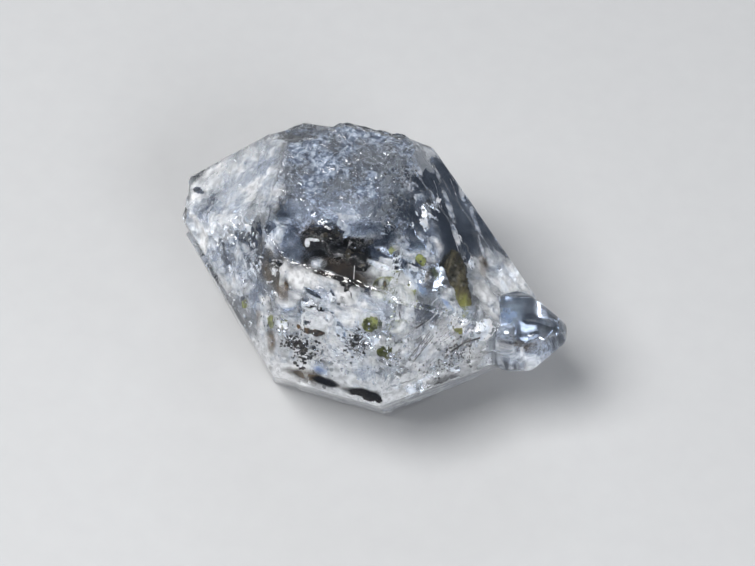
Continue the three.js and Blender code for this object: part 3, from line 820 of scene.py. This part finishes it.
# ---- Growth tubes -------------------------------------------------------------------
# Fine hollow tubes and needles that the quartz grew round, slanting up through the right
# front, and fine ones running down the clear right slope.
axis_middle = Vector((-0.124, 0.004, 5.05))  # the faces' distances are measured from here
front_reach, slope_reach = 6.2, 4.75
tube_wall, place = new_material("tube_wall")
beads = mottle(place, 2200, 3)
set_surface(tube_wall, {
    "Base Color": tones(beads, (0.40, (0.22, 0.20, 0.24)), (0.60, (0.92, 0.92, 0.97))),
    "Metallic": 0.7, "Roughness": rescaled(beads, 0.0, 1.0, 0.15, 0.4)})
tubes = bmesh.new()
needle(tubes, (3.46, -5.20, 6.74), (4.12, -4.0, 7.6), 0.035)
needle(tubes, (3.60, -5.16, 6.70), (4.22, -4.04, 7.5), 0.030)
needle(tubes, (4.3, -4.2, 7.0), (4.9, -3.4, 7.3), 0.025)
for _ in range(46):
    foot = Vector((chance.uniform(2.6, 5.4), chance.uniform(-4.8, -2.6), chance.uniform(5.0, 7.0)))
    rise = Vector((chance.gauss(0.45, 0.12), chance.gauss(0.8, 0.2), chance.gauss(0.35, 0.2)))
    rise *= chance.uniform(0.3, 1.1)
    if right_front.dot(foot + rise - axis_middle) < front_reach:
        needle(tubes, foot, foot + rise, chance.uniform(0.012, 0.028))
for _ in range(9):
    foot = Vector((chance.uniform(2.0, 4.6), chance.uniform(0.0, 4.6), 0.0))
    reach = slope_reach - chance.uniform(0.0, 0.8)
    foot.z = (reach - right_top.dot(foot - axis_middle)) / right_top.z
    needle(tubes, foot, foot + Vector(down_slope) * chance.uniform(0.3, 0.9), chance.uniform(0.008, 0.018))
place_piece("growth_tubes", tubes, tube_wall)

# ---- Bitumen ------------------------------------------------------------------------
# Black tar caught in a pocket as the crystal grew: broken lumps with a glossy, tarry skin,
# brown where they are thin. A curled brown sliver lies apart from them, nearer the front.
def sealed_body(node, material, grain, rough, pitch, neck=None):
    """A finer copy of what the solid model seals in its pocket, with its lumps run together. A neck
    between two lumps is filled out by one more, given by its centre, half sizes and turn."""
    lump = bmesh.new()
    lump.from_mesh(bpy.data.objects[node].data)
    bmesh.ops.remove_doubles(lump, verts=lump.verts, dist=same_place)
    if neck:
        centre, half, turn = neck
        stretch = Matrix.Rotation(math.radians(turn), 4, "Z") @ Matrix.Diagonal((*half, 1))
        bmesh.ops.create_icosphere(lump, subdivisions=3, radius=MM,
                                   matrix=Matrix.Translation(Vector(centre) * MM) @ stretch)
    piece = place_piece(node + "_body", lump, material)
    data = melt_together(piece, grain, 4)
    lump = bmesh.new()
    lump.from_mesh(data)
    lump.normal_update()
    for vert in lump.verts:
        x, y, z = vert.co / MM
        knob = noise.noise(Vector((x, y, z)) * pitch) + 0.5 * noise.noise(Vector((x, y, z)) * pitch * 2.7)
        vert.co += vert.normal * knob * rough * MM
    lump.to_mesh(data)
    lump.free()
    data.shade_smooth()
    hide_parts(node)


bitumen, place = new_material("bitumen")
lumpy = mottle(place, 1800, 5)
set_surface(bitumen, {
    "Base Color": tones(lumpy, (0.54, (0.004, 0.004, 0.006)), (0.72, (0.095, 0.08, 0.055))),
    "Roughness": rescaled(lumpy, 0.0, 1.0, 0.05, 0.32), "Normal": bumped(lumpy, 0.06)})
sealed_body("bitumen_mass", bitumen, 0.05, 0.16, 2.2)

bitumen_sliver, place = new_material("bitumen_sliver")
set_surface(bitumen_sliver, {
    "Base Color": tones(mottle(place, 2500, 4), (0.38, (0.012, 0.008, 0.005)), (0.64, (0.17, 0.085, 0.03))),
    "Roughness": 0.35})
sealed_body("bitumen_sliver", bitumen_sliver, 0.02, 0.03, 5.0)

# ---- Dark oil -----------------------------------------------------------------------
# A long flattened body of oil under the right slope, olive brown and streaked along its
# length, turning a clear yellow green at its thin front tip.
oil_waist = ((3.72, -0.45, 5.42), (0.44, 0.8, 0.36), 30)  # between its two lumps
dark_oil, place = new_material("dark_oil")
lengthwise = dark_oil.node_tree.nodes.new("ShaderNodeMapping")
set_inputs(lengthwise, {"Vector": place, "Rotation": (0, 0, math.radians(25)), "Scale": (4200, 900, 2500)})
streaks = mottle(lengthwise.outputs["Vector"], 1, 5)
along_oil = dark_oil.node_tree.nodes.new("ShaderNodeSeparateXYZ")
set_inputs(along_oil, {"Vector": place})
towards_tip = rescaled(along_oil.outputs["Y"], -0.5 * MM, -2.0 * MM)
green = worked_out("MULTIPLY", worked_out("MULTIPLY_ADD", streaks, 1.3, towards_tip), 0.62)
set_surface(dark_oil, {
    "Base Color": tones(green, (0.36, (0.028, 0.024, 0.012)), (0.52, (0.12, 0.10, 0.055)),
                        (0.95, (0.28, 0.28, 0.07))),
    "Roughness": 0.12})
sealed_body("oil_body", dark_oil, 0.045, 0.10, 3.4, oil_waist)

# ---- Oil drops ----------------------------------------------------------------------
# Small drops of petroleum, each sealed in a pocket of its own as the quartz grew. They are
# yellow green, and clouded in patches to nearly black.
petroleum, place = new_material("petroleum")
set_surface(petroleum, {
    "Base Color": tones(mottle(place, 1800, 3), (0.36, (0.018, 0.020, 0.008)), (0.47, (0.10, 0.11, 0.03)),
                        (0.58, (0.34, 0.37, 0.12))),
    "Roughness": 0.08})
for node in ("oil_drop_centre", "oil_drop_low", "oil_drop_left", "oil_drop_far_left", "oil_drop_upper"):
    sealed_body(node, petroleum, 0.03, 0.05, 3.5)
